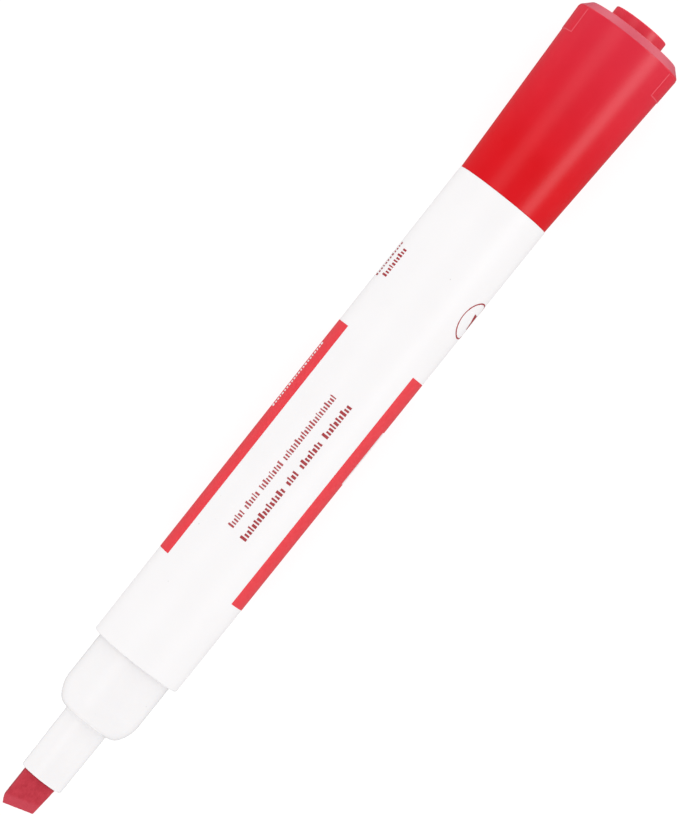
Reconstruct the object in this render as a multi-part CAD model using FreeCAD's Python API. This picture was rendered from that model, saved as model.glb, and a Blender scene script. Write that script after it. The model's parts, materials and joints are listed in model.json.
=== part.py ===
"""Chisel-tip dry-erase marker with its cap pushed onto the rear end, in millimetres.

Every piece is first drawn round the marker's own axis: x runs from the nib's tip (x = 0)
to the cap's end, and y, z are measured from the axis. placed() then lays the marker down
with its middle over the origin and the widest ring of the cap on the ground plane.
"""
import FreeCAD, Part
import math
import os

# Lengths along the axis, from the nib's tip backwards
NIB_SHOWING = 6.7
NOZZLE_LENGTH = 11.6
COLLAR_LENGTH = 12.3
BARREL_LENGTH = 93.12
MOUTH_GAP = 0.06
CAP_LENGTH = 33.22
BOSS_HEIGHT = 2.0

NOZZLE_FRONT = NIB_SHOWING
COLLAR_FRONT = NOZZLE_FRONT + NOZZLE_LENGTH
BARREL_FRONT = COLLAR_FRONT + COLLAR_LENGTH
BARREL_REAR = BARREL_FRONT + BARREL_LENGTH
CAP_MOUTH = BARREL_REAR + MOUTH_GAP
CAP_END = CAP_MOUTH + CAP_LENGTH
TOTAL_LENGTH = CAP_END + BOSS_HEIGHT

# Fits: the barrel's own parts are pressed together, the cap slides on and off
PRESS_GAP = 0.02
SLIDE_GAP = 0.05

# Barrel: a drafted tube, a little wider at the rear
BARREL_FRONT_RADIUS = 8.15
BARREL_REAR_RADIUS = 8.5
BORE_RADIUS = 7.15
PLUG_SEAT_RADIUS = 7.3
PLUG_SEAT_DEPTH = 10.0
RIB_COUNT = 6
RIB_WIDTH = 0.8
RIB_TIP_RADIUS = 6.25

# Nose: nozzle for the nib, collar for the cap, slightly wider skirt inside the barrel
NOZZLE_FRONT_RADIUS = 3.8
NOZZLE_REAR_RADIUS = 3.92
COLLAR_RADIUS = 6.95
SHOULDER_FLAT_RADIUS = 5.19
SHOULDER_SLOPE_LENGTH = 2.46
NOSE_WALL = 1.25
SKIRT_LENGTH = 11.0
SNAP_BEAD_HEIGHT = 0.15
SNAP_BEAD_WIDTH = 1.2
SNAP_BEAD_INSET = 6.0
GUIDE_RADIUS = 4.4
GUIDE_LENGTH = 9.0
VENT_RADIUS = 0.45

# Nib: a felt bar with rounded long edges and a slanted chisel tip
NIB_WIDTH = 6.0
NIB_THICKNESS = 4.6
NIB_EDGE_ROUND = 1.5
NIB_SIDE_SHIFT = 0.08
NIB_LENGTH = 50.0
NIB_SLANT = 1.5
NIB_BEVEL_LENGTH = 1.5
NIB_TIP_THICKNESS = 2.2
NIB_POINT_LENGTH = 5.0
NIB_POINT_RADIUS = 1.0

# Ink reservoir: a fibre rod in a thin film sleeve, pierced by the nib's rear end
RESERVOIR_FRONT = BARREL_FRONT + SKIRT_LENGTH + 0.8
RESERVOIR_LENGTH = 70.0
RESERVOIR_RADIUS = 6.0
FILM_THICKNESS = 0.18

# Rear plug: skirt inside the barrel, post for the cap behind it
POST_RADIUS = COLLAR_RADIUS
POST_LENGTH = 8.0
PLUG_WALL = 1.25
PLUG_END_WALL = 1.4

# Cap: a flared shell with a chamfered closed end, and an inner cap that seals the nozzle
CAP_MOUTH_RADIUS = 8.4
CAP_END_RADIUS = 9.75
CAP_CHAMFER = 1.45
CAP_BORE_RADIUS = POST_RADIUS + SLIDE_GAP
CAP_END_WALL = 1.8
PAD_HEIGHT = 0.08
PAD_LENGTH = 4.1
PAD_ANGLE = 66.0
BOSS_RADIUS = 4.9
INNER_BORE_RADIUS = 4.05
INNER_TUBE_RADIUS = 5.3
INNER_MOUTH_RADIUS = 5.0
INNER_FLANGE_THICKNESS = 1.6
INNER_FLANGE_SETBACK = COLLAR_LENGTH + 1.03
INNER_END_WALL = 1.4

AXIS_HEIGHT = CAP_END_RADIUS
X_AXIS = FreeCAD.Vector(1, 0, 0)
ON_AXIS = FreeCAD.Vector(0, 0, 0)


def rounded_outline(corners):
    """Closed wire through (u, v, rounding) corners in the XY plane."""
    stretches = []
    for index, (u, v, rounding) in enumerate(corners):
        here = FreeCAD.Vector(u, v, 0)
        before = FreeCAD.Vector(*corners[index - 1][:2], 0)
        after = FreeCAD.Vector(*corners[(index + 1) % len(corners)][:2], 0)
        back = (before - here).normalize()
        ahead = (after - here).normalize()
        half_angle = back.getAngle(ahead) / 2
        reach = rounding / math.tan(half_angle)
        inward = (back + ahead).normalize() if rounding else ON_AXIS
        middle = here + inward * (rounding / math.sin(half_angle) - rounding)
        stretches.append((here + back * reach, middle, here + ahead * reach))
    edges = []
    for index, (start, middle, end) in enumerate(stretches):
        previous_end = stretches[index - 1][2]
        edges.append(Part.LineSegment(previous_end, start).toShape())
        if corners[index][2]:
            edges.append(Part.Arc(start, middle, end).toShape())
    return Part.Wire(edges)


def turned(corners, angle=360.0):
    """Solid turned round the x axis from (x, radius, rounding) corners."""
    return Part.Face(rounded_outline(corners)).revolve(ON_AXIS, X_AXIS, angle)


def cylinder(radius, start, length):
    return Part.makeCylinder(radius, length, FreeCAD.Vector(start, 0, 0), X_AXIS)


def nib_bar(start, length, extra=0.0):
    """Bar with the nib's rounded section, made larger all round by extra."""
    half_width = NIB_WIDTH / 2 + extra
    half_thickness = NIB_THICKNESS / 2 + extra
    rounding = NIB_EDGE_ROUND + extra
    section = rounded_outline([
        (-half_thickness, -half_width, rounding),
        (half_thickness, -half_width, rounding),
        (half_thickness, half_width, rounding),
        (-half_thickness, half_width, rounding),
    ])
    bar = Part.Face(section).extrude(FreeCAD.Vector(0, 0, length))
    bar.rotate(ON_AXIS, FreeCAD.Vector(0, 1, 0), 90)
    bar.translate(FreeCAD.Vector(start, NIB_SIDE_SHIFT, 0))
    return bar


def barrel():
    """Tube with a snap groove for the nose, a seat for the plug and ribs for the reservoir."""
    groove_start = BARREL_FRONT + SNAP_BEAD_INSET
    groove_end = groove_start + SNAP_BEAD_WIDTH
    groove_radius = BORE_RADIUS + SNAP_BEAD_HEIGHT
    tube = turned([
        (BARREL_FRONT, BORE_RADIUS, 0.1),
        (BARREL_FRONT, BARREL_FRONT_RADIUS, 0.35),
        (BARREL_REAR, BARREL_REAR_RADIUS, 0.12),
        (BARREL_REAR, PLUG_SEAT_RADIUS, 0),
        (BARREL_REAR - PLUG_SEAT_DEPTH, PLUG_SEAT_RADIUS, 0),
        (BARREL_REAR - PLUG_SEAT_DEPTH, BORE_RADIUS, 0),
        (groove_end, BORE_RADIUS, 0),
        (groove_end, groove_radius, 0),
        (groove_start, groove_radius, 0),
        (groove_start, BORE_RADIUS, 0),
    ])
    rib_depth = BORE_RADIUS - RIB_TIP_RADIUS + 0.4
    for index in range(RIB_COUNT):
        corner = FreeCAD.Vector(RESERVOIR_FRONT, -RIB_WIDTH / 2, RIB_TIP_RADIUS)
        rib = Part.makeBox(RESERVOIR_LENGTH, RIB_WIDTH, rib_depth, corner)
        rib.rotate(ON_AXIS, X_AXIS, 360 / RIB_COUNT * index)
        tube = tube.fuse(rib)
    return tube.removeSplitter()


def nose():
    """Nozzle, collar and skirt in one moulding, with a slot and two air vents for the nib."""
    skirt_end = BARREL_FRONT + SKIRT_LENGTH
    bead_start = BARREL_FRONT + SNAP_BEAD_INSET + PRESS_GAP
    bead_end = bead_start + SNAP_BEAD_WIDTH - 2 * PRESS_GAP
    skirt_radius = BORE_RADIUS - PRESS_GAP
    bead_radius = skirt_radius + SNAP_BEAD_HEIGHT
    cavity_front = COLLAR_FRONT + 2.0
    cavity_radius = COLLAR_RADIUS - NOSE_WALL
    body = turned([
        (NOZZLE_FRONT, 0, 0),
        (NOZZLE_FRONT, NOZZLE_FRONT_RADIUS, 0.2),
        (COLLAR_FRONT, NOZZLE_REAR_RADIUS, 0.35),
        (COLLAR_FRONT, SHOULDER_FLAT_RADIUS, 1.75),
        (COLLAR_FRONT + SHOULDER_SLOPE_LENGTH, COLLAR_RADIUS, 5.4),
        (BARREL_FRONT, COLLAR_RADIUS, 0),
        (BARREL_FRONT, skirt_radius, 0),
        (bead_start, skirt_radius, 0),
        (bead_start, bead_radius, 0),
        (bead_end, bead_radius, 0),
        (bead_end, skirt_radius, 0),
        (skirt_end, skirt_radius, 0.4),
        (skirt_end, cavity_radius, 0.1),
        (cavity_front, cavity_radius, 2.0),
        (cavity_front, GUIDE_RADIUS, 0),
        (cavity_front + GUIDE_LENGTH, GUIDE_RADIUS, 0.1),
        (cavity_front + GUIDE_LENGTH, 0, 0),
    ])
    slot_length = GUIDE_LENGTH + cavity_front - NOZZLE_FRONT + 2
    body = body.cut(nib_bar(NOZZLE_FRONT - 1, slot_length, PRESS_GAP))
    for side in (-1, 1):
        vent = cylinder(VENT_RADIUS, NOZZLE_FRONT - 1, slot_length)
        vent.translate(FreeCAD.Vector(0, 0, side * NIB_THICKNESS / 2))
        body = body.cut(vent)
    return body.removeSplitter()


def nib():
    """Felt bar: slanted, bevelled chisel tip in front, point for the reservoir behind."""
    left = NIB_WIDTH / 2 + NIB_SIDE_SHIFT
    right = left - NIB_WIDTH
    tip_outline = rounded_outline([
        (0, left - 0.6, 0.15),
        (1.35, left, 0.15),
        (NIB_LENGTH, left, 0),
        (NIB_LENGTH, right, 0),
        (NIB_SHOWING, right, 0),
        (NIB_SLANT + 0.4, right + 0.35, 0.15),
        (NIB_SLANT, right + 0.5, 0.15),
    ])
    blank = Part.Face(tip_outline).extrude(FreeCAD.Vector(0, 0, NIB_THICKNESS))
    blank.translate(FreeCAD.Vector(0, 0, -NIB_THICKNESS / 2))
    bar = nib_bar(0, NIB_LENGTH).common(blank)
    point = turned([
        (0, 0, 0),
        (0, NIB_WIDTH, 0),
        (NIB_LENGTH - NIB_POINT_LENGTH, NIB_WIDTH / 2, 0),
        (NIB_LENGTH, NIB_POINT_RADIUS, 0.3),
        (NIB_LENGTH, 0, 0),
    ])
    bar = bar.common(point)
    for side in (-1, 1):
        bar = bar.cut(bevel_wedge(side))
    return bar


def bevel_wedge(side):
    """Wedge that thins the nib towards its slanted tip edge, on the face at side * z."""
    start = NIB_TIP_THICKNESS / 2
    rise = (NIB_THICKNESS - NIB_TIP_THICKNESS) / 2
    profile = Part.makePolygon([
        FreeCAD.Vector(-1, 0, side * (start - rise / NIB_BEVEL_LENGTH)),
        FreeCAD.Vector(NIB_BEVEL_LENGTH, 0, side * (start + rise)),
        FreeCAD.Vector(-1, 0, side * (start + rise + 1)),
        FreeCAD.Vector(-1, 0, side * (start - rise / NIB_BEVEL_LENGTH)),
    ])
    wedge = Part.Face(profile).extrude(FreeCAD.Vector(0, 2 * NIB_WIDTH, 0))
    wedge.translate(FreeCAD.Vector(0, -NIB_WIDTH, 0))
    slant = math.degrees(math.atan2(NIB_SLANT, NIB_WIDTH - 1.1))
    wedge.rotate(FreeCAD.Vector(0, NIB_WIDTH / 2 - 0.5, 0), FreeCAD.Vector(0, 0, 1), slant)
    return wedge


def reservoir_core():
    """Fibre rod, with the pocket that the nib's point presses into it."""
    rod = cylinder(RESERVOIR_RADIUS, RESERVOIR_FRONT, RESERVOIR_LENGTH)
    return rod.cut(nib())


def reservoir_film():
    """Thin sleeve round the fibre rod, open at both ends."""
    inner = RESERVOIR_RADIUS + PRESS_GAP
    outside = cylinder(inner + FILM_THICKNESS, RESERVOIR_FRONT, RESERVOIR_LENGTH)
    return outside.cut(cylinder(inner, RESERVOIR_FRONT, RESERVOIR_LENGTH))


def rear_plug():
    """Hollow plug: a skirt pressed into the barrel and a closed post behind it."""
    front = BARREL_REAR - PLUG_SEAT_DEPTH + PRESS_GAP
    seat_radius = PLUG_SEAT_RADIUS - PRESS_GAP
    post_end = BARREL_REAR + POST_LENGTH
    inside_radius = POST_RADIUS - PLUG_WALL
    return turned([
        (front, inside_radius, 0),
        (front, seat_radius, 0.3),
        (BARREL_REAR, seat_radius, 0),
        (BARREL_REAR, POST_RADIUS, 0),
        (post_end, POST_RADIUS, 0.8),
        (post_end, 0, 0),
        (post_end - PLUG_END_WALL, 0, 0),
        (post_end - PLUG_END_WALL, inside_radius, 0.5),
    ])


def cap_shell():
    """Flared shell with a hole in its end for the inner cap and two low pads outside."""
    flare_end = CAP_END - CAP_CHAMFER
    inside_end = CAP_END - CAP_END_WALL
    shell = turned([
        (CAP_MOUTH, CAP_BORE_RADIUS, 0.25),
        (CAP_MOUTH, CAP_MOUTH_RADIUS, 0.12),
        (flare_end, CAP_END_RADIUS, 0.15),
        (CAP_END, CAP_END_RADIUS - CAP_CHAMFER, 0.1),
        (CAP_END, BOSS_RADIUS + PRESS_GAP, 0),
        (inside_end, BOSS_RADIUS + PRESS_GAP, 0),
        (inside_end, CAP_BORE_RADIUS, 0.5),
    ])
    slope = (CAP_END_RADIUS - CAP_MOUTH_RADIUS) / (flare_end - CAP_MOUTH)
    pad_end = flare_end - 0.3
    pad_start = pad_end - PAD_LENGTH
    end_radius = CAP_END_RADIUS - slope * (flare_end - pad_end)
    start_radius = end_radius - slope * PAD_LENGTH
    for middle in (0, 180):
        pad = turned([
            (pad_start, start_radius - 0.5, 0),
            (pad_start, start_radius + PAD_HEIGHT, 0.05),
            (pad_end, end_radius + PAD_HEIGHT, 0.05),
            (pad_end, end_radius - 0.5, 0),
        ], PAD_ANGLE)
        pad.rotate(ON_AXIS, X_AXIS, middle - PAD_ANGLE / 2)
        shell = shell.fuse(pad)
    return shell.removeSplitter()


def inner_cap():
    """Closed tube that seals the nozzle; its end shows as the round boss on the cap."""
    flange_front = CAP_MOUTH + INNER_FLANGE_SETBACK
    flange_rear = flange_front + INNER_FLANGE_THICKNESS
    shoulder = CAP_END - CAP_END_WALL - PRESS_GAP
    inside_end = TOTAL_LENGTH - INNER_END_WALL
    return turned([
        (flange_front, INNER_MOUTH_RADIUS, 0.1),
        (flange_front, CAP_BORE_RADIUS - PRESS_GAP, 0.2),
        (flange_rear, CAP_BORE_RADIUS - PRESS_GAP, 0),
        (flange_rear, INNER_TUBE_RADIUS, 0.3),
        (shoulder, INNER_TUBE_RADIUS, 0.1),
        (shoulder, BOSS_RADIUS, 0),
        (TOTAL_LENGTH, BOSS_RADIUS, 0.15),
        (TOTAL_LENGTH, 0, 0),
        (inside_end, 0, 0),
        (inside_end, INNER_BORE_RADIUS, 0.8),
        (flange_front + 1.2, INNER_BORE_RADIUS, 0.2),
    ])


def placed(shape):
    """Move a piece from the marker's axis to the part's frame."""
    moved = shape.copy()
    moved.translate(FreeCAD.Vector(-TOTAL_LENGTH / 2, 0, AXIS_HEIGHT))
    return moved


PIECES = {
    "barrel": barrel,
    "nose": nose,
    "nib": nib,
    "reservoir_core": reservoir_core,
    "reservoir_film": reservoir_film,
    "rear_plug": rear_plug,
    "cap_shell": cap_shell,
    "inner_cap": inner_cap,
}

os.makedirs("parts", exist_ok=True)
for name, make in PIECES.items():
    solid = placed(make())
    solid.exportStep(f"parts/{name}.step")
    box = solid.optimalBoundingBox(False)
    print(f"{name}: {solid.Volume:.0f} mm3, {len(solid.Solids)} solid, valid {solid.isValid()}, "
          f"x {box.XMin:.2f} to {box.XMax:.2f}, z {box.ZMin:.2f} to {box.ZMax:.2f}")
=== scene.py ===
import json
import math

import bmesh
import bpy
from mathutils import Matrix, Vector


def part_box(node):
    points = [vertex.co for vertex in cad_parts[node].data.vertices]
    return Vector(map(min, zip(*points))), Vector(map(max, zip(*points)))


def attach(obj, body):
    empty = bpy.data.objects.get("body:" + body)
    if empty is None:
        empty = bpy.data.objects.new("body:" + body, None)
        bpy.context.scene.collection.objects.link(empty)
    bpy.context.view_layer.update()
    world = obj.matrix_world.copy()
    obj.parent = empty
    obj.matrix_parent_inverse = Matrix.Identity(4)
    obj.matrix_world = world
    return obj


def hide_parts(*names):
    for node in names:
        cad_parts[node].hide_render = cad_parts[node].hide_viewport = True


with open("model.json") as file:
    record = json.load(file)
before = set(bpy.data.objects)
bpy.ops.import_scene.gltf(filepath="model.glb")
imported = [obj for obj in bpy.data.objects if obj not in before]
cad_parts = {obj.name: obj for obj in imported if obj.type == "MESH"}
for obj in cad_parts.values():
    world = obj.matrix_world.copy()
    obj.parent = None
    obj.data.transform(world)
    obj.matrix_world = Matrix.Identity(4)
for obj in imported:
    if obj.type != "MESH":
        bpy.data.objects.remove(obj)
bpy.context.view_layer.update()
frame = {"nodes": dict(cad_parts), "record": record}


# ---- Barrel ---------------------------------------------------------------------------
# One injection-moulded tube of white polypropylene, a little wider at the rear so that
# it leaves its mould. The nose snaps into its front and the plug is pressed into its rear.
MM = 0.001
axis_z = next(m["pos_m"][2] for m in frame["record"]["mounts"] if m["name"] == "end_face")
RING_VERTICES = 120


def off_axis(point):
    """Distance of a point from the marker's own axis."""
    return math.hypot(point.y, point.z - axis_z)


def pick(piece, kind, wanted):
    """In edit mode, select only the edges or faces whose corners all pass wanted()."""
    bpy.ops.mesh.select_mode(type=kind)
    bpy.ops.mesh.select_all(action="DESELECT")
    mesh = bmesh.from_edit_mesh(piece.data)
    for element in mesh.edges if kind == "EDGE" else mesh.faces:
        if all(wanted(corner.co) for corner in element.verts):
            element.select_set(True)
    bmesh.update_edit_mesh(piece.data)


def near(a, b):
    return abs(a - b) < 0.004 * MM


def turn(name, stations, hollow=True):
    """Extrude a ring from one (x, radius) station to the next, then close the shape."""
    bpy.ops.object.select_all(action="DESELECT")
    x, radius = stations[0]
    bpy.ops.mesh.primitive_circle_add(
        vertices=RING_VERTICES, radius=radius, location=(x, 0, axis_z),
        rotation=(0, math.pi / 2, 0))
    piece = bpy.context.object
    piece.name = piece.data.name = name
    bpy.ops.object.transform_apply(location=True, rotation=True, scale=True)
    bpy.ops.object.mode_set(mode="EDIT")
    bpy.ops.mesh.select_all(action="SELECT")
    if not hollow:
        bpy.ops.mesh.edge_face_add()
    for next_x, next_radius in stations[1:]:
        bpy.ops.mesh.extrude_edges_move(
            TRANSFORM_OT_translate={"value": (next_x - x, 0, 0)})
        scale = next_radius / radius
        bpy.ops.transform.resize(
            value=(1, scale, scale), center_override=(next_x, 0, axis_z))
        x, radius = next_x, next_radius
    if hollow:
        bpy.ops.mesh.select_mode(type="EDGE")
        bpy.ops.mesh.select_all(action="DESELECT")
        bpy.ops.mesh.select_non_manifold()
        bpy.ops.mesh.bridge_edge_loops()
    else:
        bpy.ops.mesh.edge_face_add()
    bpy.ops.mesh.select_all(action="SELECT")
    bpy.ops.mesh.normals_make_consistent(inside=False)
    return piece


def round_ring(piece, x, radius, rounding, steps=4):
    """Round the ring-shaped edge at one (x, radius) corner of a turned piece."""
    pick(piece, "EDGE", lambda at: near(at.x, x) and near(off_axis(at), radius))
    bpy.ops.mesh.bevel(offset=rounding, segments=steps, affect="EDGES")


def apply_modifier(piece, kind, **settings):
    modifier = piece.modifiers.new(kind.lower(), kind)
    for setting, value in settings.items():
        setattr(modifier, setting, value)
    bpy.context.view_layer.objects.active = piece
    bpy.ops.object.modifier_apply(modifier=modifier.name)


def smooth(piece, angle=32):
    """Leave edit mode and shade the piece smooth, with crisp corners and flat flats."""
    bpy.ops.object.mode_set(mode="OBJECT")
    bpy.ops.object.select_all(action="DESELECT")
    piece.select_set(True)
    bpy.context.view_layer.objects.active = piece
    bpy.ops.object.shade_smooth_by_angle(angle=math.radians(angle))
    apply_modifier(piece, "WEIGHTED_NORMAL", keep_sharp=True)


barrel_front, barrel_rear = (corner.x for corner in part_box("barrel"))
BARREL_FRONT_RADIUS = 8.15 * MM
BARREL_REAR_RADIUS = 8.5 * MM
BORE_RADIUS = 7.15 * MM
SEAT_RADIUS = 7.3 * MM
seat_start = barrel_rear - 10 * MM

barrel = turn("barrel_tube", [
    (barrel_front, BARREL_FRONT_RADIUS),
    (barrel_rear, BARREL_REAR_RADIUS),
    (barrel_rear, SEAT_RADIUS),
    (seat_start, SEAT_RADIUS),
    (seat_start, BORE_RADIUS),
    (barrel_front, BORE_RADIUS),
])
round_ring(barrel, barrel_front, BARREL_FRONT_RADIUS, 0.35 * MM)
round_ring(barrel, barrel_front, BORE_RADIUS, 0.1 * MM, 2)
round_ring(barrel, barrel_rear, BARREL_REAR_RADIUS, 0.05 * MM, 3)
smooth(barrel)


def add_node(tree, kind, values=(), links=(), **settings):
    """Add a shader node with its options, socket values and the sockets that feed it."""
    made = tree.nodes.new("ShaderNode" + kind)
    for setting, value in settings.items():
        setattr(made, setting, value)
    for socket, value in dict(values).items():
        made.inputs[socket].default_value = value
    for socket, source in dict(links).items():
        tree.links.new(source, made.inputs[socket])
    return made


def new_group(name, inputs, outputs):
    """Empty shader group with float sockets; returns it with its two end nodes."""
    group = bpy.data.node_groups.new(name, "ShaderNodeTree")
    for socket, value in inputs.items():
        made = group.interface.new_socket(
            name=socket, in_out="INPUT", socket_type="NodeSocketFloat")
        made.default_value = value
    for socket in outputs:
        group.interface.new_socket(
            name=socket, in_out="OUTPUT", socket_type="NodeSocketFloat")
    return group, group.nodes.new("NodeGroupInput"), group.nodes.new("NodeGroupOutput")


def make_moulded_skin():
    """Skin of moulded plastic: soft pebbling, and draw lines along the marker's axis."""
    group, given, result = new_group(
        "moulded_skin", {"Pebble Scale": 2600.0, "Draw Lines": 0.5}, ["Height", "Tone"])
    place = add_node(group, "TexCoord").outputs["Object"]
    pebbles = add_node(
        group, "TexNoise", {"Detail": 3.0, "Roughness": 0.55},
        {"Vector": place, "Scale": given.outputs["Pebble Scale"]})
    stretched = add_node(
        group, "VectorMath", {1: (0.03, 1.0, 1.0)}, {0: place}, operation="MULTIPLY")
    lines = add_node(
        group, "TexNoise", {"Scale": 5200.0, "Detail": 2.0, "Roughness": 0.6},
        {"Vector": stretched.outputs["Vector"]})
    shared = add_node(
        group, "Mix", {}, {"Factor": given.outputs["Draw Lines"],
                           "A": pebbles.outputs["Fac"], "B": lines.outputs["Fac"]},
        data_type="FLOAT")
    cloudy = add_node(
        group, "TexNoise", {"Scale": 130.0, "Detail": 4.0, "Roughness": 0.6},
        {"Vector": place})
    group.links.new(shared.outputs["Result"], result.inputs["Height"])
    group.links.new(cloudy.outputs["Fac"], result.inputs["Tone"])
    return group


def make_handling_marks():
    """Marks of handling: hairline scratches at two slants, and sparse specks of dust."""
    group, given, result = new_group(
        "handling_marks", {"Scratch Cut": 0.7, "Speck Share": 0.03}, ["Scratch", "Speck"])
    place = add_node(group, "TexCoord").outputs["Object"]
    slants = []
    for turn_z, turn_x in ((0.5, 0.3), (-0.35, 1.1)):
        slanted = add_node(
            group, "Mapping", {"Rotation": (turn_x, 0.0, turn_z), "Scale": (0.04, 1.0, 1.0)},
            {"Vector": place})
        hairs = add_node(
            group, "TexNoise", {"Scale": 3400.0, "Detail": 1.0, "Roughness": 0.4},
            {"Vector": slanted.outputs["Vector"]})
        slants.append(hairs.outputs["Fac"])
    longest = add_node(group, "Math", {}, {0: slants[0], 1: slants[1]}, operation="MAXIMUM")
    scratch = add_node(
        group, "MapRange", {"From Max": 0.86, "To Min": 0.0, "To Max": 1.0},
        {"Value": longest.outputs["Value"], "From Min": given.outputs["Scratch Cut"]},
        interpolation_type="SMOOTHSTEP")
    cells = add_node(group, "TexVoronoi", {"Scale": 900.0}, {"Vector": place})
    dot = add_node(
        group, "MapRange", {"From Min": 0.13, "From Max": 0.07},
        {"Value": cells.outputs["Distance"]})
    chance = add_node(group, "SeparateColor", {}, {"Color": cells.outputs["Color"]})
    chosen = add_node(
        group, "Math", {}, {0: chance.outputs["Red"], 1: given.outputs["Speck Share"]},
        operation="LESS_THAN")
    speck = add_node(
        group, "Math", {}, {0: dot.outputs["Result"], 1: chosen.outputs["Value"]},
        operation="MULTIPLY")
    group.links.new(scratch.outputs["Result"], result.inputs["Scratch"])
    group.links.new(speck.outputs["Value"], result.inputs["Speck"])
    return group


moulded_skin = make_moulded_skin()
handling_marks = make_handling_marks()


def moulded_plastic(name, colour, shade, roughness, pebble_scale, draw_lines, bump,
                    glow, dust):
    """Polypropylene: cloudy tone, moulded skin, hairline scratches, dust, inner glow."""
    material = bpy.data.materials.new(name)
    material.use_nodes = True
    tree = material.node_tree
    surface = tree.nodes["Principled BSDF"]
    skin = add_node(tree, "Group", node_tree=moulded_skin)
    skin.inputs["Pebble Scale"].default_value = pebble_scale
    skin.inputs["Draw Lines"].default_value = draw_lines
    marks = add_node(tree, "Group", node_tree=handling_marks)
    tone = add_node(
        tree, "MapRange", {"From Min": 0.3, "From Max": 0.7}, {"Value": skin.outputs["Tone"]})
    cloudy = add_node(
        tree, "Mix", {"A": (*shade, 1), "B": (*colour, 1)}, data_type="RGBA")
    tree.links.new(tone.outputs["Result"], cloudy.inputs["Factor"])
    dusty = add_node(tree, "Mix", {"B": (*dust, 1)}, data_type="RGBA")
    tree.links.new(marks.outputs["Speck"], dusty.inputs["Factor"])
    tree.links.new(cloudy.outputs[2], dusty.inputs[6])
    tree.links.new(dusty.outputs[2], surface.inputs["Base Color"])
    tone_roughness_and_tip_light = add_node(
        tree, "MapRange", {"To Min": roughness - 0.03, "To Max": roughness + 0.03},
        {"Value": skin.outputs["Tone"]})
    scuffed = add_node(
        tree, "Math", {1: 0.12},
        {0: marks.outputs["Scratch"], 2: tone_roughness_and_tip_light.outputs["Result"]}, operation="MULTIPLY_ADD")
    tree.links.new(scuffed.outputs["Value"], surface.inputs["Roughness"])
    cut = add_node(
        tree, "Math", {1: -0.12}, {0: marks.outputs["Scratch"], 2: skin.outputs["Height"]},
        operation="MULTIPLY_ADD")
    bumps = add_node(
        tree, "Bump", {"Strength": bump, "Distance": 0.02 * MM},
        {"Height": cut.outputs["Value"]})
    tree.links.new(bumps.outputs["Normal"], surface.inputs["Normal"])
    surface.inputs["IOR"].default_value = 1.49
    surface.inputs["Specular IOR Level"].default_value = 0.12
    surface.inputs["Subsurface Weight"].default_value = glow
    surface.inputs["Subsurface Radius"].default_value = (1.0, 0.9, 0.8)
    surface.inputs["Subsurface Scale"].default_value = 0.8 * MM
    return material


barrel_plastic = moulded_plastic(
    "barrel_plastic", colour=(0.838, 0.823, 0.828), shade=(0.825, 0.81, 0.815),
    roughness=0.42, pebble_scale=2200.0, draw_lines=0.6, bump=0.1, glow=0.06,
    dust=(0.62, 0.61, 0.6))
barrel.data.materials.append(barrel_plastic)
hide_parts("barrel")
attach(barrel, "marker")


# ---- Nose -----------------------------------------------------------------------------
# One moulding in natural, slightly milky polypropylene: a nozzle that holds the nib, a
# round-shouldered collar that the cap grips, and a skirt that snaps into the barrel.
nose_low, nose_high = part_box("nose")
nozzle_front, skirt_end = nose_low.x, nose_high.x
NOZZLE_FRONT_RADIUS = 3.8 * MM
NOZZLE_REAR_RADIUS = 3.92 * MM
COLLAR_RADIUS = 6.95 * MM
SKIRT_RADIUS = 7.13 * MM
CAVITY_RADIUS = 5.7 * MM
GUIDE_RADIUS = 4.4 * MM
SHOULDER_FLAT_RADIUS = 5.19 * MM
collar_front = nozzle_front + 11.6 * MM
shoulder_end = collar_front + 2.46 * MM
cavity_front = collar_front + 2.0 * MM
guide_end = cavity_front + 9.0 * MM

nose = turn("nose_moulding", [
    (nozzle_front, NOZZLE_FRONT_RADIUS),
    (collar_front, NOZZLE_REAR_RADIUS),
    (collar_front, SHOULDER_FLAT_RADIUS),
    (shoulder_end, COLLAR_RADIUS),
    (barrel_front, COLLAR_RADIUS),
    (barrel_front, SKIRT_RADIUS),
    (skirt_end, SKIRT_RADIUS),
    (skirt_end, CAVITY_RADIUS),
    (cavity_front, CAVITY_RADIUS),
    (cavity_front, GUIDE_RADIUS),
    (guide_end, GUIDE_RADIUS),
], hollow=False)
round_ring(nose, nozzle_front, NOZZLE_FRONT_RADIUS, 0.22 * MM)
round_ring(nose, collar_front, NOZZLE_REAR_RADIUS, 0.4 * MM)
round_ring(nose, collar_front, SHOULDER_FLAT_RADIUS, 0.9 * MM, 7)
round_ring(nose, shoulder_end, COLLAR_RADIUS, 1.74 * MM, 12)
round_ring(nose, skirt_end, SKIRT_RADIUS, 0.4 * MM)
bpy.ops.object.mode_set(mode="OBJECT")

NIB_WIDTH = 6.0 * MM
NIB_THICKNESS = 4.6 * MM
NIB_EDGE_ROUND = 1.5 * MM
NIB_GAP = 0.02 * MM
nib_middle_y = 0.08 * MM


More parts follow.
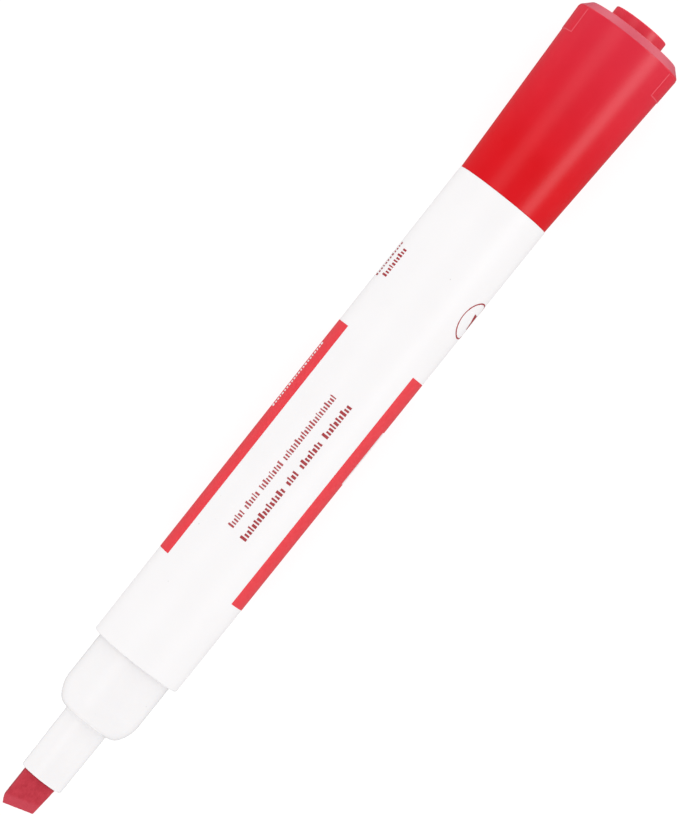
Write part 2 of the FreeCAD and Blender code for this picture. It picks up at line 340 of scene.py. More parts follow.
def nib_bar(name, start, end, gap):
    """Bar with the nib's rounded section, larger all round by gap."""
    bpy.ops.object.select_all(action="DESELECT")
    bpy.ops.mesh.primitive_cube_add(size=1, location=((start + end) / 2, nib_middle_y, axis_z))
    bar = bpy.context.object
    bar.name = bar.data.name = name
    bar.scale = (end - start, NIB_WIDTH + 2 * gap, NIB_THICKNESS + 2 * gap)
    bpy.ops.object.transform_apply(location=True, rotation=True, scale=True)
    bpy.ops.object.mode_set(mode="EDIT")
    bmesh_edges = bmesh.from_edit_mesh(bar.data).edges
    bpy.ops.mesh.select_mode(type="EDGE")
    bpy.ops.mesh.select_all(action="DESELECT")
    for edge in bmesh_edges:
        along = edge.verts[1].co - edge.verts[0].co
        edge.select_set(abs(along.x) > (end - start) / 2)
    bmesh.update_edit_mesh(bar.data)
    bpy.ops.mesh.bevel(offset=NIB_EDGE_ROUND + gap, segments=8, affect="EDGES")
    return bar


def cut_away(piece, cutter):
    """Cut one object out of another and remove the cutter."""
    apply_modifier(piece, "BOOLEAN", object=cutter, operation="DIFFERENCE", solver="EXACT")
    bpy.data.objects.remove(cutter)


slot_cutter = nib_bar("slot_cutter", nozzle_front - MM, guide_end + MM, NIB_GAP)
bpy.ops.object.mode_set(mode="OBJECT")
cut_away(nose, slot_cutter)
VENT_RADIUS = 0.45 * MM
SLOT_RIM_REACH = 3.45 * MM
for side in (-1, 1):
    bpy.ops.object.select_all(action="DESELECT")
    bpy.ops.mesh.primitive_cylinder_add(
        vertices=32, radius=VENT_RADIUS, depth=guide_end - nozzle_front + 2 * MM,
        location=((nozzle_front + guide_end) / 2, 0, axis_z + side * NIB_THICKNESS / 2),
        rotation=(0, math.pi / 2, 0))
    cut_away(nose, bpy.context.object)
bpy.context.view_layer.objects.active = nose
bpy.ops.object.mode_set(mode="EDIT")
pick(nose, "EDGE", lambda at: near(at.x, nozzle_front) and off_axis(at) < SLOT_RIM_REACH)
bpy.ops.mesh.bevel(offset=0.07 * MM, segments=2, affect="EDGES")
smooth(nose)

nose_plastic = moulded_plastic(
    "nose_plastic", colour=(0.83, 0.815, 0.82), shade=(0.81, 0.795, 0.8),
    roughness=0.24, pebble_scale=3000.0, draw_lines=0.3, bump=0.08, glow=0.22,
    dust=(0.6, 0.59, 0.58))
nose.data.materials.append(nose_plastic)
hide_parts("nose")
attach(nose, "marker")


# ---- Nib ------------------------------------------------------------------------------
# A bar of dense polyester felt full of red ink, ground to a slanted chisel tip. It runs
# through the nozzle into the reservoir, and its pressed fibres lie along the bar.
nib_tip, nib_end = (corner.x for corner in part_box("nib"))
TIP_THICKNESS = 2.2 * MM
BEVEL_LENGTH = 1.5 * MM
TIP_FROM_LEFT = 0.6 * MM
LEFT_CORNER_BACK = 1.35 * MM
FELT_GRAIN = 0.11 * MM
FUZZ_START = 0.6 * MM
left_side = nib_middle_y + NIB_WIDTH / 2
right_side = nib_middle_y - NIB_WIDTH / 2

nib = nib_bar("nib_felt", nib_tip, nib_end, 0)


def trim(through, outward):
    """Slice off what lies beyond a plane and close the cut face."""
    bpy.ops.mesh.select_all(action="SELECT")
    bpy.ops.mesh.bisect(
        plane_co=through, plane_no=Vector(outward).normalized(), use_fill=True,
        clear_outer=True)


# The slanted tip, its left corner and the right side's slight draft are cut first, then
# the two bevelled faces of the tip and the point that goes into the reservoir.
tip_slant = Vector((-4.9, -1.5, 0))
face_rise = (NIB_THICKNESS - TIP_THICKNESS) / 2
trim((nib_tip, left_side - TIP_FROM_LEFT, axis_z), tip_slant)
trim((nib_tip + LEFT_CORNER_BACK, left_side, axis_z), (-TIP_FROM_LEFT, LEFT_CORNER_BACK, 0))
trim((nozzle_front, right_side, axis_z), (-0.42, -4.5, 0))
for side in (-1, 1):
    outward = tip_slant.normalized() * face_rise + Vector((0, 0, side * BEVEL_LENGTH))
    edge_point = (nib_tip, left_side - TIP_FROM_LEFT, axis_z + side * TIP_THICKNESS / 2)
    trim(edge_point, outward)
    trim((nib_end, nib_middle_y, axis_z + side * MM), (1.3, 0, side * 5))
    trim((nib_end, nib_middle_y + side * MM, axis_z), (2.0, side * 5, 0))
bpy.ops.object.mode_set(mode="OBJECT")
apply_modifier(nib, "REMESH", mode="VOXEL", voxel_size=FELT_GRAIN)
apply_modifier(nib, "SMOOTH", factor=0.5, iterations=1)

head = nib.vertex_groups.new(name="head")
for vertex in nib.data.vertices:
    shown = min(1.0, max(0.0, (nozzle_front - vertex.co.x) / FUZZ_START))
    head.add([vertex.index], shown, "REPLACE")
for noise_size, strength in ((0.9 * MM, 0.07 * MM), (0.22 * MM, 0.045 * MM)):
    fibres = bpy.data.textures.new("felt_surface", "CLOUDS")
    fibres.noise_scale = noise_size
    apply_modifier(
        nib, "DISPLACE", texture=fibres, texture_coords="LOCAL", vertex_group="head",
        strength=strength, mid_level=0.62)
smooth(nib, 60)


def make_nib_felt():
    """Inked felt: matted fibres, painted light on the tip's bevels, painted shade by the nozzle
    and the side.
    """
    material = bpy.data.materials.new("nib_felt")
    material.use_nodes = True
    tree = material.node_tree
    surface = tree.nodes["Principled BSDF"]
    place = add_node(tree, "TexCoord").outputs["Object"]
    along = add_node(tree, "VectorMath", {1: (0.3, 1.0, 1.0)}, {0: place}, operation="MULTIPLY")
    strands = add_node(
        tree, "TexNoise", {"Scale": 7500.0, "Detail": 5.0, "Roughness": 0.65},
        {"Vector": along.outputs["Vector"]})
    patches = add_node(
        tree, "TexNoise", {"Scale": 900.0, "Detail": 3.0, "Roughness": 0.6},
        {"Vector": place})
    mixed = add_node(
        tree, "Mix", {"Factor": 0.5},
        {"A": strands.outputs["Fac"], "B": patches.outputs["Fac"]}, data_type="FLOAT")
    spread = add_node(
        tree, "MapRange", {"From Min": 0.3, "From Max": 0.7},
        {"Value": mixed.outputs["Result"]})
    inked = add_node(
        tree, "Mix", {"A": (0.4, 0.02, 0.036, 1), "B": (0.54, 0.043, 0.066, 1)},
        data_type="RGBA")
    tree.links.new(spread.outputs["Result"], inked.inputs["Factor"])
    # Painted light: the tip's bevel faces are painted paler, for the light they catch at their
    # slant.
    from_tip = add_node(
        tree, "VectorMath", {1: (nib_tip, left_side, axis_z)}, {0: place}, operation="SUBTRACT")
    depth_from_tip = add_node(
        tree, "VectorMath", {1: -tip_slant.normalized()}, {0: from_tip.outputs["Vector"]},
        operation="DOT_PRODUCT")
    tone_roughness_and_tip_light = add_node(
        tree, "MapRange",
        {"From Min": 1.7 * MM, "From Max": 1.3 * MM, "To Min": 0.0, "To Max": 0.28},
        {"Value": depth_from_tip.outputs["Value"]})
    painted_tip_light = add_node(tree, "Mix", {"B": (0.6, 0.085, 0.12, 1)}, data_type="RGBA")
    tree.links.new(tone_roughness_and_tip_light.outputs["Result"], painted_tip_light.inputs["Factor"])
    tree.links.new(inked.outputs[2], painted_tip_light.inputs[6])
    spot = add_node(tree, "SeparateXYZ", {}, {"Vector": place})
    # Painted shade: the felt is darkened where it goes into the nozzle and along its left side
    # edge.
    by_nozzle = add_node(
        tree, "MapRange",
        {"From Min": nozzle_front - 0.3 * MM, "From Max": nozzle_front, "To Max": 0.75},
        {"Value": spot.outputs["X"]})
    by_side = add_node(
        tree, "MapRange",
        {"From Min": left_side - 0.3 * MM, "From Max": left_side, "To Max": 0.6},
        {"Value": spot.outputs["Y"]})
    at_edge = add_node(
        tree, "Math", {}, {0: by_nozzle.outputs["Result"], 1: by_side.outputs["Result"]},
        operation="MAXIMUM")
    painted_edge_shade = add_node(tree, "Mix", {"B": (0.16, 0.01, 0.018, 1)}, data_type="RGBA")
    tree.links.new(at_edge.outputs["Value"], painted_edge_shade.inputs["Factor"])
    tree.links.new(painted_tip_light.outputs[2], painted_edge_shade.inputs[6])
    tree.links.new(painted_edge_shade.outputs[2], surface.inputs["Base Color"])
    bumps = add_node(
        tree, "Bump", {"Strength": 0.6, "Distance": 0.05 * MM},
        {"Height": strands.outputs["Fac"]})
    tree.links.new(bumps.outputs["Normal"], surface.inputs["Normal"])
    surface.inputs["Roughness"].default_value = 0.85
    surface.inputs["Specular IOR Level"].default_value = 0.12
    surface.inputs["Sheen Weight"].default_value = 0.12
    surface.inputs["Sheen Roughness"].default_value = 0.5
    surface.inputs["Sheen Tint"].default_value = (1.0, 0.6, 0.62, 1)
    return material


nib.data.materials.append(make_nib_felt())
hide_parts("nib")
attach(nib, "marker")


# ---- Ink reservoir --------------------------------------------------------------------
# A rod of long crimped polyester fibres holds the ink, in a sleeve of thin clear film.
# It is pushed into the barrel between the six ribs before the plug closes the rear.
def make_reservoir_fibre():
    """Fibres along the rod, in darker and paler inked strands."""
    material = bpy.data.materials.new("reservoir_fibre")
    material.use_nodes = True
    tree = material.node_tree
    surface = tree.nodes["Principled BSDF"]
    place = add_node(tree, "TexCoord").outputs["Object"]
    along = add_node(tree, "VectorMath", {1: (0.05, 1.0, 1.0)}, {0: place}, operation="MULTIPLY")
    strands = add_node(
        tree, "TexNoise", {"Scale": 6000.0, "Detail": 4.0, "Distortion": 0.4},
        {"Vector": along.outputs["Vector"]})
    inked = add_node(
        tree, "Mix", {"A": (0.33, 0.02, 0.03, 1), "B": (0.68, 0.12, 0.14, 1)},
        {"Factor": strands.outputs["Fac"]}, data_type="RGBA")
    tree.links.new(inked.outputs[2], surface.inputs["Base Color"])
    bumps = add_node(
        tree, "Bump", {"Strength": 0.7, "Distance": 0.08 * MM},
        {"Height": strands.outputs["Fac"]})
    tree.links.new(bumps.outputs["Normal"], surface.inputs["Normal"])
    surface.inputs["Roughness"].default_value = 0.7
    return material


def make_film():
    """Clear film with faint lengthwise creases."""
    material = bpy.data.materials.new("film")
    material.use_nodes = True
    tree = material.node_tree
    surface = tree.nodes["Principled BSDF"]
    place = add_node(tree, "TexCoord").outputs["Object"]
    along = add_node(tree, "VectorMath", {1: (0.1, 1.0, 1.0)}, {0: place}, operation="MULTIPLY")
    creases = add_node(
        tree, "TexNoise", {"Scale": 700.0, "Detail": 3.0}, {"Vector": along.outputs["Vector"]})
    veil = add_node(
        tree, "MapRange", {"To Min": 0.15, "To Max": 0.35}, {"Value": creases.outputs["Fac"]})
    tree.links.new(veil.outputs["Result"], surface.inputs["Alpha"])
    bumps = add_node(
        tree, "Bump", {"Strength": 0.4, "Distance": 0.1 * MM}, {"Height": creases.outputs["Fac"]})
    tree.links.new(bumps.outputs["Normal"], surface.inputs["Normal"])
    surface.inputs["Base Color"].default_value = (0.9, 0.85, 0.85, 1)
    surface.inputs["Roughness"].default_value = 0.12
    return material


frame["nodes"]["reservoir_core"].material_slots[0].material = make_reservoir_fibre()
frame["nodes"]["reservoir_film"].material_slots[0].material = make_film()


# ---- Rear plug ------------------------------------------------------------------------
# A hollow white moulding pressed into the barrel's rear. Its closed post, as wide as the
# nose's collar, carries the cap while the marker is in use.
plug_low, plug_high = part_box("rear_plug")
plug_front, post_end = plug_low.x, plug_high.x
POST_RADIUS = 6.95 * MM
PLUG_SKIRT_RADIUS = 7.28 * MM
PLUG_INSIDE_RADIUS = 5.7 * MM
GATE_RADIUS = 1.3 * MM

plug = turn("rear_plug_moulding", [
    (post_end - 1.4 * MM, PLUG_INSIDE_RADIUS),
    (plug_front, PLUG_INSIDE_RADIUS),
    (plug_front, PLUG_SKIRT_RADIUS),
    (barrel_rear, PLUG_SKIRT_RADIUS),
    (barrel_rear, POST_RADIUS),
    (post_end, POST_RADIUS),
    (post_end, GATE_RADIUS),
    (post_end - 0.18 * MM, GATE_RADIUS * 0.9),
], hollow=False)
round_ring(plug, post_end, POST_RADIUS, 0.8 * MM, 8)
round_ring(plug, plug_front, PLUG_SKIRT_RADIUS, 0.3 * MM)
smooth(plug)
plug_plastic = moulded_plastic(
    "plug_plastic", colour=(0.84, 0.825, 0.828), shade=(0.82, 0.805, 0.808),
    roughness=0.36, pebble_scale=2600.0, draw_lines=0.35, bump=0.14, glow=0.08,
    dust=(0.62, 0.61, 0.6))
plug.data.materials.append(plug_plastic)
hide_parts("rear_plug")
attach(plug, "marker")


# ---- Cap shell ------------------------------------------------------------------------
# Red polypropylene, flared towards a chamfered closed end with two low pads on its sides.
# The hole in its end lets the inner cap show, and its bore grips the collar or the post.
cap_mouth = barrel_rear + 0.02 * MM
cap_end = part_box("cap_shell")[1].x
CAP_MOUTH_RADIUS = 8.4 * MM
CAP_END_RADIUS = 9.75 * MM
CAP_CHAMFER = 1.45 * MM
CAP_BORE_RADIUS = 7.0 * MM
END_HOLE_RADIUS = 4.92 * MM
flare_end = cap_end - CAP_CHAMFER
inside_end = cap_end - 1.8 * MM
pad_end = flare_end - 0.3 * MM
pad_start = pad_end - 4.45 * MM
PAD_HEIGHT = 0.074 * MM
PAD_HALF_ANGLE = 33


def flare_radius(x):
    share = (x - cap_mouth) / (flare_end - cap_mouth)
    return CAP_MOUTH_RADIUS + share * (CAP_END_RADIUS - CAP_MOUTH_RADIUS)


cap_shell = turn("cap_shell_moulding", [
    (cap_mouth, CAP_MOUTH_RADIUS),
    (pad_start, flare_radius(pad_start)),
    (pad_end, flare_radius(pad_end)),
    (flare_end, CAP_END_RADIUS),
    (cap_end, CAP_END_RADIUS - CAP_CHAMFER),
    (cap_end, END_HOLE_RADIUS),
    (inside_end, END_HOLE_RADIUS),
    (inside_end, CAP_BORE_RADIUS),
    (cap_mouth, CAP_BORE_RADIUS),
])


def on_pad(at):
    """True on the outer wall where one of the two side pads stands."""
    from_side = math.degrees(math.atan2(abs(at.z - axis_z), abs(at.y)))
    along = pad_start - 0.01 * MM < at.x < pad_end + 0.01 * MM
    return along and from_side < PAD_HALF_ANGLE + 0.5 and off_axis(at) > 9 * MM


pick(cap_shell, "FACE", on_pad)
bpy.ops.mesh.extrude_region_shrink_fatten(
    TRANSFORM_OT_shrink_fatten={"value": PAD_HEIGHT})
pick(cap_shell, "EDGE", lambda at: off_axis(at) > flare_radius(at.x) + 0.5 * PAD_HEIGHT)
bpy.ops.mesh.region_to_loop()
bpy.ops.mesh.bevel(offset=0.06 * MM, segments=3, affect="EDGES")
round_ring(cap_shell, cap_mouth, CAP_MOUTH_RADIUS, 0.05 * MM, 3)
round_ring(cap_shell, cap_mouth, CAP_BORE_RADIUS, 0.25 * MM)
round_ring(cap_shell, flare_end, CAP_END_RADIUS, 0.14 * MM, 3)
round_ring(cap_shell, cap_end, CAP_END_RADIUS - CAP_CHAMFER, 0.1 * MM, 3)
round_ring(cap_shell, cap_end, END_HOLE_RADIUS, 0.12 * MM, 3)
smooth(cap_shell, 30)
cap_plastic = moulded_plastic(
    "cap_plastic", colour=(0.66, 0.002, 0.008), shade=(0.62, 0.001, 0.006),
    roughness=0.33, pebble_scale=2400.0, draw_lines=0.25, bump=0.16, glow=0.05,
    dust=(0.78, 0.2, 0.22))
cap_tree = cap_plastic.node_tree
cap_surface = cap_tree.nodes["Principled BSDF"]
place = add_node(cap_tree, "TexCoord").outputs["Object"]
along_cap = add_node(cap_tree, "SeparateXYZ", {}, {"Vector": place})
# Painted light: the red is mixed paler towards the closed end, for the brighter light that falls
# there.
painted_light_to_end = add_node(
    cap_tree, "MapRange",
    {"From Min": cap_mouth + 7 * MM, "From Max": cap_end, "To Min": 0.0, "To Max": 0.055},
    {"Value": along_cap.outputs["X"]})
painted_lighter_end = add_node(
    cap_tree, "Mix", {"B": (0.9, 0.35, 0.7, 1)},
    {"Factor": painted_light_to_end.outputs["Result"],
     "A": cap_surface.inputs["Base Color"].links[0].from_socket}, data_type="RGBA")
# Painted highlight: the pads' two inner edges and lower ends are painted paler, for the light
# their thin steps catch.
from_side = add_node(cap_tree, "Math", {}, {0: along_cap.outputs["Y"]}, operation="ABSOLUTE")
level = add_node(
    cap_tree, "Math", {1: axis_z}, {0: along_cap.outputs["Z"]}, operation="SUBTRACT")
height = add_node(cap_tree, "Math", {}, {0: level.outputs["Value"]}, operation="ABSOLUTE")
pad_angle = add_node(
    cap_tree, "Math", {}, {0: height.outputs["Value"], 1: from_side.outputs["Value"]},
    operation="ARCTAN2")


def closeness(value, target, reach, level_to=None, most=1.0):
    """Mask at its most where a shader value is near the target, falling to 0 at the reach."""
    gap = add_node(cap_tree, "Math", {1: target}, {0: value}, operation="SUBTRACT")
    size = add_node(cap_tree, "Math", {}, {0: gap.outputs["Value"]}, operation="ABSOLUTE")
    mask = add_node(
        cap_tree, "MapRange",
        {"From Min": reach, "From Max": level_to or 0.4 * reach, "To Max": most},
        {"Value": size.outputs["Value"]})
    return mask.outputs["Result"]


pad_middle = (pad_start + pad_end) / 2
pad_half = (pad_end - pad_start) / 2
beside = closeness(
    pad_angle.outputs["Value"], math.radians(PAD_HALF_ANGLE), math.radians(0.7))
in_length = closeness(along_cap.outputs["X"], pad_middle, pad_half + 0.1 * MM, pad_half)
below = closeness(along_cap.outputs["X"], pad_start, 0.12 * MM)
in_width = add_node(
    cap_tree, "Math", {1: math.radians(PAD_HALF_ANGLE + 0.4)},
    {0: pad_angle.outputs["Value"]}, operation="LESS_THAN")
side_edge = add_node(cap_tree, "Math", {}, {0: beside, 1: in_length}, operation="MULTIPLY")
low_edge = add_node(
    cap_tree, "Math", {}, {0: below, 1: in_width.outputs["Value"]}, operation="MULTIPLY")
pad_edge = add_node(
    cap_tree, "Math", {}, {0: side_edge.outputs["Value"], 1: low_edge.outputs["Value"]},
    operation="MAXIMUM")
painted_pad_highlight = add_node(cap_tree, "Mix", {"B": (0.74, 0.09, 0.12, 1)}, data_type="RGBA")
cap_tree.links.new(pad_edge.outputs["Value"], painted_pad_highlight.inputs["Factor"])
cap_tree.links.new(painted_lighter_end.outputs[2], painted_pad_highlight.inputs[6])
# Painted light: the chamfer's colour is mixed paler and greyer, for the light that its slant
# catches.
chamfer_half = CAP_CHAMFER / 2
on_chamfer = closeness(
    along_cap.outputs["X"], flare_end + chamfer_half, chamfer_half,
    chamfer_half - 0.1 * MM, most=0.35)
painted_chamfer_light = add_node(
    cap_tree, "Mix", {"B": (0.36, 0.14, 0.205, 1)},
    {"Factor": on_chamfer, "A": painted_pad_highlight.outputs[2]}, data_type="RGBA")
cap_tree.links.new(painted_chamfer_light.outputs[2], cap_surface.inputs["Base Color"])
cap_shell.data.materials.append(cap_plastic)
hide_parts("cap_shell")
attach(cap_shell, "cap")


# ---- Inner cap ------------------------------------------------------------------------
# A closed red tube pressed into the shell. Its flange rests in the bore, its bore seals
# round the nozzle, and its end stands out of the shell as a flat round boss.
inner_low, inner_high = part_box("inner_cap")
flange_front, boss_end = inner_low.x, inner_high.x
flange_rear = flange_front + 1.6 * MM
shoulder = inside_end - 0.02 * MM
INNER_BORE_RADIUS = 4.05 * MM
INNER_MOUTH_RADIUS = 5.0 * MM
INNER_TUBE_RADIUS = 5.3 * MM
FLANGE_RADIUS = 6.98 * MM
BOSS_RADIUS = 4.9 * MM
DIMPLE_RADIUS = 1.1 * MM

inner_cap = turn("inner_cap_moulding", [
    (boss_end - 1.4 * MM, INNER_BORE_RADIUS),
    (flange_front + 1.2 * MM, INNER_BORE_RADIUS),
    (flange_front, INNER_MOUTH_RADIUS),
    (flange_front, FLANGE_RADIUS),
    (flange_rear, FLANGE_RADIUS),
    (flange_rear, INNER_TUBE_RADIUS),
    (shoulder, INNER_TUBE_RADIUS),
    (shoulder, BOSS_RADIUS),
    (boss_end, BOSS_RADIUS),
    (boss_end, DIMPLE_RADIUS),
    (boss_end - 0.15 * MM, DIMPLE_RADIUS * 0.85),
], hollow=False)
round_ring(inner_cap, boss_end, BOSS_RADIUS, 0.2 * MM)
round_ring(inner_cap, flange_front, FLANGE_RADIUS, 0.2 * MM)
round_ring(inner_cap, flange_front, INNER_MOUTH_RADIUS, 0.1 * MM, 2)
smooth(inner_cap, 30)
inner_cap_plastic = moulded_plastic(
    "inner_cap_plastic", colour=(0.7, 0.038, 0.068), shade=(0.67, 0.033, 0.06),
    roughness=0.3, pebble_scale=2800.0, draw_lines=0.4, bump=0.12, glow=0.05,
    dust=(0.78, 0.2, 0.22))
inner_cap.data.materials.append(inner_cap_plastic)
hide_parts("inner_cap")
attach(inner_cap, "cap")


# ---- Print on the barrel --------------------------------------------------------------
# Red ink screen-printed on the white tube: a panel round the far side, and small bars,
# a ring and a drop that stand in for words and a symbol.
INK_STANDS = 0.015 * MM
INK_DEPTH = 0.045 * MM
print_top = axis_z + 8.7 * MM


def lay_on_barrel(name, plates, angle, stands=INK_STANDS):
    """Join flat plates drawn over the barrel's top, turn them round it and wrap them on."""
    bpy.ops.object.select_all(action="DESELECT")
    for plate in plates:
        plate.select_set(True)
    bpy.context.view_layer.objects.active = plates[0]
    if len(plates) > 1:
        bpy.ops.object.join()
    printed = bpy.context.object
    printed.name = printed.data.name = name
    bpy.ops.object.transform_apply(location=True, rotation=True, scale=True)
    bpy.ops.object.mode_set(mode="EDIT")
    bpy.ops.mesh.select_all(action="SELECT")
    bpy.ops.transform.rotate(
        value=math.radians(-angle), orient_axis="X", center_override=(0, 0, axis_z))
    bpy.ops.object.mode_set(mode="OBJECT")
    apply_modifier(
        printed, "SHRINKWRAP", target=barrel, wrap_method="NEAREST_SURFACEPOINT",
        wrap_mode="ABOVE_SURFACE", offset=stands)
    return printed


def thicken(printed, ink):
    """Give a wrapped print its thickness, most of it sunk in the wall, and its ink."""
    apply_modifier(printed, "SOLIDIFY", thickness=INK_DEPTH, offset=-1)
    smooth(printed, 40)
    printed.data.materials.append(ink)
    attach(printed, "marker")


def make_print_ink(name, thick, thin_spot, pinhole):
    """Screen-print ink: nearly even colour, with thin spots and tiny pinholes."""
    material = bpy.data.materials.new(name)
    material.use_nodes = True
    tree = material.node_tree
    surface = tree.nodes["Principled BSDF"]
    place = add_node(tree, "TexCoord").outputs["Object"]
    thin = add_node(
        tree, "TexNoise", {"Scale": 1500.0, "Detail": 4.0, "Roughness": 0.6}, {"Vector": place})
    spread = add_node(
        tree, "MapRange", {"From Min": 0.35, "From Max": 0.68}, {"Value": thin.outputs["Fac"]})
    inked = add_node(
        tree, "Mix", {"A": (*thick, 1), "B": (*thin_spot, 1)}, data_type="RGBA")
    tree.links.new(spread.outputs["Result"], inked.inputs["Factor"])
    marks = add_node(tree, "Group", node_tree=handling_marks)
    marks.inputs["Speck Share"].default_value = 0.015
    holed = add_node(tree, "Mix", {"B": (*pinhole, 1)}, data_type="RGBA")
    tree.links.new(marks.outputs["Speck"], holed.inputs["Factor"])
    tree.links.new(inked.outputs[2], holed.inputs[6])
    tree.links.new(holed.outputs[2], surface.inputs["Base Color"])
    rough = add_node(
        tree, "MapRange", {"To Min": 0.36, "To Max": 0.46}, {"Value": thin.outputs["Fac"]})
    tree.links.new(rough.outputs["Result"], surface.inputs["Roughness"])
    bumps = add_node(
        tree, "Bump", {"Strength": 0.15, "Distance": 0.02 * MM}, {"Height": thin.outputs["Fac"]})
    tree.links.new(bumps.outputs["Normal"], surface.inputs["Normal"])
    return material


panel_ink = make_print_ink(
    "panel_ink", (0.77, 0.02, 0.036), (0.81, 0.03, 0.046), (0.84, 0.5, 0.5))
word_ink = make_print_ink(
    "word_ink", (0.36, 0.012, 0.02), (0.42, 0.018, 0.028), (0.6, 0.2, 0.22))
white_ink = make_print_ink(
    "white_ink", (0.85, 0.835, 0.838), (0.83, 0.78, 0.785), (0.8, 0.6, 0.6))


def bar_at(x, y, length, width, cuts):
    """Flat bar over the barrel's top, with cuts across it so that it can wrap."""
    bpy.ops.object.select_all(action="DESELECT")
    bpy.ops.mesh.primitive_grid_add(
        x_subdivisions=max(1, round(length / (1.5 * MM))), y_subdivisions=cuts, size=1,
        location=(x + length / 2, y, print_top))
    bar = bpy.context.object
    bar.scale = (length, width, 1)
    bpy.ops.object.transform_apply(location=True, rotation=True, scale=True)
    return bar


# The panel follows the barrel's taper round the far side, from edge to edge of the bare
# strip that faces up.
PANEL_START = 47.2 * MM
PANEL_END = 92.8 * MM
BARE_LEFT = 51.8
BARE_RIGHT = 49.8


def barrel_radius(x):
    share = (x - barrel_front) / (barrel_rear - barrel_front)
    return BARREL_FRONT_RADIUS + share * (BARREL_REAR_RADIUS - BARREL_FRONT_RADIUS)


panel_start = nib_tip + PANEL_START
panel_end = nib_tip + PANEL_END
bpy.ops.object.select_all(action="DESELECT")
bpy.ops.mesh.primitive_cone_add(
    vertices=360, radius1=barrel_radius(panel_start) + INK_STANDS,
    radius2=barrel_radius(panel_end) + INK_STANDS, depth=panel_end - panel_start,
    end_fill_type="NOTHING", location=((panel_start + panel_end) / 2, 0, axis_z),
    rotation=(0, math.pi / 2, 0))
panel = bpy.context.object
panel.name = panel.data.name = "print_panel"
bpy.ops.object.transform_apply(location=True, rotation=True, scale=True)
bpy.ops.object.mode_set(mode="EDIT")


def on_bare_strip(at):
    """True on the strip that faces up, measured from the top towards +Y."""
    from_top = math.degrees(math.atan2(at.y, at.z - axis_z))
    return -BARE_RIGHT - 0.3 < from_top < BARE_LEFT + 0.3


pick(panel, "FACE", on_bare_strip)
bpy.ops.mesh.delete(type="FACE")
bpy.ops.object.mode_set(mode="OBJECT")
thicken(panel, panel_ink)

# Two lines of word-like bars, each word a run of short strokes of uneven width and height
STROKES = (
    (0.34, 1.0), (0.26, 0.72), (0.3, 0.72), (0.2, 1.0), (0.34, 0.72), (0.24, 0.9), (0.28, 0.72))
STROKE_GAP = 0.25 * MM
WORD_GAP = 0.6 * MM


def word_line(name, start, words, letter_height, stretch, angle, ink, stands=INK_STANDS):
    """Line of word-like bars; words gives the number of strokes in each word."""
    plates = []
    x = nib_tip + start
    stroke = 0
    for count in words:
        for _ in range(count):
            width, height = STROKES[stroke % len(STROKES)]
            length = width * stretch * MM
            tall = height * letter_height
            plates.append(bar_at(x, (tall - letter_height) / 2, length, tall, 3))
            x += length + STROKE_GAP
            stroke += 1
        x += WORD_GAP * stretch
    thicken(lay_on_barrel(name, plates, angle, stands), ink)


word_line("print_line_upper", 56.8 * MM, (6, 6, 10, 24), 1.15 * MM, 1.0, -10.2, word_ink)
word_line("print_line_lower", 56.3 * MM, (16, 4, 8, 10), 1.26 * MM, 1.4, 9.4, word_ink)
word_line("print_note_near", 102.5 * MM, (10,), 1.5 * MM, 1.07, -58.5, word_ink)
word_line("print_note_far", 101.9 * MM, (12,), 1.1 * MM, 1.13, -75.5, word_ink)

# Plain white blocks in the panel, where it has letters left bare
word_line("print_bare_blocks", 75.6 * MM, (22,), 1.1 * MM, 1.2, -77.0, white_ink, 2 * INK_STANDS)
bare_bar = bar_at(nib_tip + 72.7 * MM, 0, 10.4 * MM, 1.9 * MM, 8)
thicken(lay_on_barrel("print_bare_bar", [bare_bar], 84.5, 2 * INK_STANDS), white_ink)

# A thin ring with a plain drop in it
RING_RADIUS = 3.5 * MM
RING_WIDTH = 0.26 * MM
RING_ANGLE = 72.8
WRAP_LOSS = 1.06
ring_x = nib_tip + 105.4 * MM
bpy.ops.object.select_all(action="DESELECT")
bpy.ops.mesh.primitive_circle_add(
    vertices=96, radius=RING_RADIUS, location=(ring_x, 0, print_top))
ring = bpy.context.object
bpy.ops.object.mode_set(mode="EDIT")
bpy.ops.mesh.select_all(action="SELECT")
bpy.ops.mesh.extrude_edges_move()
inner_share = 1 - RING_WIDTH / RING_RADIUS
bpy.ops.transform.resize(value=(inner_share, inner_share, 1))
bpy.ops.mesh.select_all(action="SELECT")
bpy.ops.transform.resize(value=(1, WRAP_LOSS, 1))
bpy.ops.object.mode_set(mode="OBJECT")
thicken(lay_on_barrel("print_ring", [ring], RING_ANGLE), word_ink)

DROP_START = 104.0 * MM
DROP_LENGTH = 2.7 * MM
bpy.ops.object.select_all(action="DESELECT")
bpy.ops.mesh.primitive_grid_add(
    x_subdivisions=1, y_subdivisions=6, size=1,
    location=(nib_tip + DROP_START + DROP_LENGTH / 2, 0, print_top))
drop = bpy.context.object
drop.scale = (DROP_LENGTH, 1.7 * MM, 1)
bpy.ops.object.transform_apply(location=True, rotation=True, scale=True)
bpy.ops.object.mode_set(mode="EDIT")
pick(drop, "EDGE", lambda at: at.x < nib_tip + DROP_START + 0.1 * MM)
bpy.ops.transform.resize(value=(1, 0.25, 1))
bpy.ops.transform.translate(value=(0, -0.9 * MM, 0))
bpy.ops.object.mode_set(mode="OBJECT")
thicken(lay_on_barrel("print_drop", [drop], 74.5, 2 * INK_STANDS), word_ink)


# ---- Floor, light and camera ----------------------------------------------------------
# A white sweep lies under the cap's widest ring and the barrel's front edge, which is how
# the marker really rests. Panels beside and beyond the marker light it softly.
rest_slope = (BARREL_FRONT_RADIUS - CAP_END_RADIUS) / (flare_end - barrel_front)
bpy.ops.object.select_all(action="DESELECT")
bpy.ops.mesh.primitive_plane_add(
    size=8, location=(0, 0, flare_end * -rest_slope), rotation=(0, -math.atan(rest_slope), 0))
floor = bpy.context.object
floor.name = "floor"


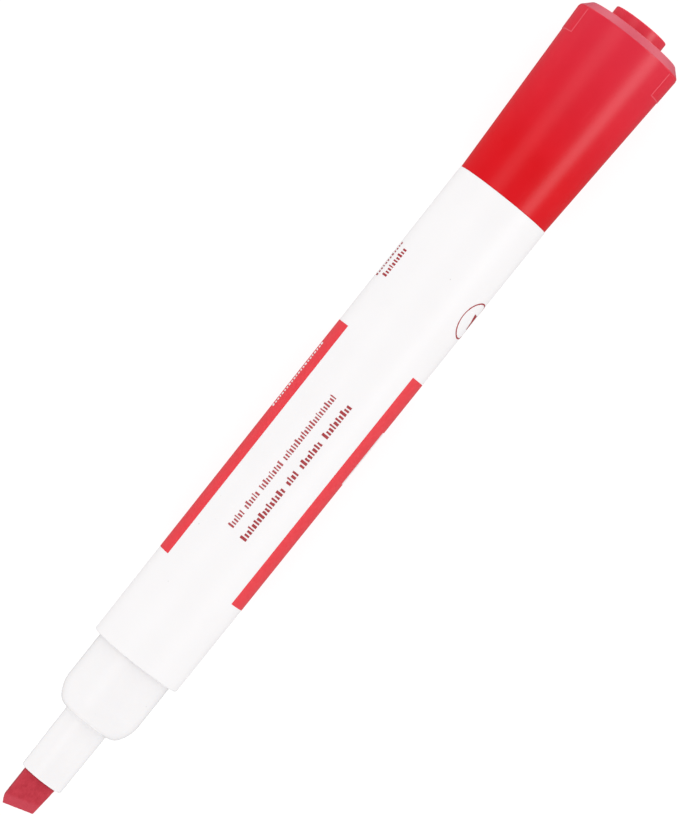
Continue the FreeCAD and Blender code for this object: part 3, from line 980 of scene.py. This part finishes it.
def strength_by_ray(tree, seen, lighting, mirrored):
    """Strength that differs for the eye, for soft light and for what gloss mirrors."""
    rays = add_node(tree, "LightPath")
    soft = add_node(
        tree, "Mix", {"A": lighting}, {"Factor": rays.outputs["Is Glossy Ray"]},
        data_type="FLOAT")
    if isinstance(mirrored, float):
        soft.inputs["B"].default_value = mirrored
    else:
        tree.links.new(mirrored, soft.inputs["B"])
    shown = add_node(
        tree, "Math", {1: seen - lighting},
        {0: rays.outputs["Is Camera Ray"], 2: soft.outputs["Result"]},
        operation="MULTIPLY_ADD")
    return shown.outputs["Value"]


floor_white = bpy.data.materials.new("floor_white")
floor_white.use_nodes = True
floor_surface = floor_white.node_tree.nodes["Principled BSDF"]
floor_surface.inputs["Base Color"].default_value = (0.22, 0.22, 0.22, 1)
floor_surface.inputs["Roughness"].default_value = 1.0
floor_surface.inputs["Specular IOR Level"].default_value = 0.0
floor_surface.inputs["Emission Color"].default_value = (1, 1, 1, 1)
# Past the cap the sweep is brighter to gloss only, which lights the cap's chamfer.
GLOW_START = 78 * MM
GLOW_FULL = 130 * MM
floor_place = add_node(floor_white.node_tree, "TexCoord").outputs["Object"]
floor_spot = add_node(floor_white.node_tree, "SeparateXYZ", {}, {"Vector": floor_place})
beyond_cap = add_node(
    floor_white.node_tree, "MapRange",
    {"From Min": GLOW_START, "From Max": GLOW_FULL, "To Min": 0.04, "To Max": 5.0},
    {"Value": floor_spot.outputs["X"]}, interpolation_type="SMOOTHSTEP")
floor_white.node_tree.links.new(
    strength_by_ray(
        floor_white.node_tree, seen=0.83, lighting=0.95, mirrored=beyond_cap.outputs["Result"]),
    floor_surface.inputs["Emission Strength"])
floor_white.cycles.emission_sampling = "NONE"
floor.data.materials.append(floor_white)

world = bpy.data.worlds.new("studio")
bpy.context.scene.world = world
world.use_nodes = True
backdrop = world.node_tree.nodes["Background"]
backdrop.inputs["Color"].default_value = (1, 1, 1, 1)
world.node_tree.links.new(
    strength_by_ray(world.node_tree, seen=1.2, lighting=1.15, mirrored=0.22),
    backdrop.inputs["Strength"])
world.cycles.sampling_method = "NONE"


PANEL_DISTANCE = 0.8


def gloss_panel(name, azimuth, elevation, width, height, radiance, shift=0.0):
    """Panel that only gloss mirrors; azimuth 0 is towards +X, shift moves it along +X."""
    turn_round, lift = math.radians(azimuth), math.radians(elevation)
    away = Vector((math.cos(turn_round) * math.cos(lift),
                   math.sin(turn_round) * math.cos(lift), math.sin(lift)))
    bpy.ops.object.light_add(type="AREA", location=away * PANEL_DISTANCE + Vector((shift, 0, 0)))
    lamp = bpy.context.object
    lamp.name = lamp.data.name = name
    lamp.rotation_euler = away.to_track_quat("Z", "Y").to_euler()
    lamp.data.shape = "RECTANGLE"
    lamp.data.size = width
    lamp.data.size_y = height
    lamp.data.energy = radiance * math.pi * width * height
    lamp.visible_camera = False
    lamp.visible_diffuse = False


gloss_panel("strip_right", -90, 33.5, width=1.6, height=0.32, radiance=12.0, shift=0.78)
gloss_panel("strip_left", 90, 61, width=1.6, height=0.4, radiance=2.6)
gloss_panel("panel_beyond_cap", 0, 15, width=0.9, height=0.7, radiance=0.7)
gloss_panel("panel_beyond_nib", 180, 15, width=0.9, height=0.7, radiance=0.5)

LENS = 213.5
CAMERA_DISTANCE = 765 * MM
MARKER_SLANT = 51.43
bpy.ops.object.camera_add(
    location=(2.4 * MM, -0.37 * MM, axis_z + CAMERA_DISTANCE),
    rotation=(0, 0, -math.radians(MARKER_SLANT)))
camera = bpy.context.object
camera.name = "camera"
camera.data.lens = LENS
camera.data.sensor_width = 36
bpy.context.scene.camera = camera
bpy.context.scene.view_settings.view_transform = "Standard"
